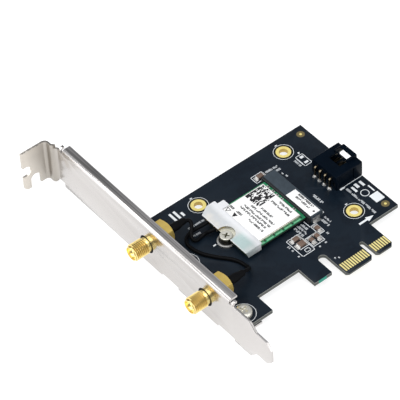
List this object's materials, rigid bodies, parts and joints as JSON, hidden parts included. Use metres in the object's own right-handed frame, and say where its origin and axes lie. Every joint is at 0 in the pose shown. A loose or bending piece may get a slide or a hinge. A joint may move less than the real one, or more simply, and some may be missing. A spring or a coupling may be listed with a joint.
{
  "type": "pcie wifi card",
  "caption": "Low-profile wireless network card on a full-height slot bracket, with a plug-in radio module, threaded antenna connectors and a latching header.",
  "frame": {"origin": "bracket's outer face, at the board's lower edge line and on the plane of the board's component side", "axes": "+X from the bracket into the card, +Y along the bracket towards its tab, +Z out of the board's component side"},
  "size_m": [0.091, 0.12, 0.0194],
  "materials": {
    "plated_steel": "bright plated",
    "screw_steel": "plated",
    "board": "dark solder mask over glass epoxy",
    "gold": "gold plated",
    "connector_gold": "gold plated, bright",
    "white_insulator": "smooth",
    "crimp": "plain",
    "heat_shrink": "satin",
    "coax_jacket": "satin",
    "module_green": "green solder mask",
    "shield_steel": "tinned",
    "chip": "matte",
    "label": "paper",
    "cover": "milky",
    "socket": "matte",
    "header": "satin",
    "tin": "tinned",
    "ceramic": "fired ceramic"
  },
  "bodies": {
    "root": {"bracket": "plated_steel", "bracket_screws": "screw_steel", "circuit_board": "board", "edge_contacts_front": "gold", "edge_contacts_back": "gold", "plated_eyelets": "gold", "antenna_connector_1": "connector_gold", "antenna_connector_2": "connector_gold", "antenna_insulator_1": "white_insulator", "antenna_insulator_2": "white_insulator", "antenna_pin_1": "connector_gold", "antenna_pin_2": "connector_gold", "crimp_ferrules": "crimp", "heat_shrink_1": "heat_shrink", "heat_shrink_2": "heat_shrink", "coax_cable_1": "coax_jacket", "coax_cable_2": "coax_jacket", "coax_plug_1": "connector_gold", "coax_plug_2": "connector_gold", "antenna_jacks": "gold", "module_board": "module_green", "module_contacts": "gold", "module_shield": "shield_steel", "module_chip": "chip", "module_label": "label", "module_standoff": "screw_steel", "module_screw": "screw_steel", "plug_cover": "cover", "socket_housing": "socket", "socket_contacts": "gold", "socket_tabs": "tin", "socket_sticker": "label", "header_housing": "header", "header_pins": "tin", "header_solder": "tin", "capacitor_bodies": "ceramic", "capacitor_caps": "tin"}
  },
  "joints": []
}
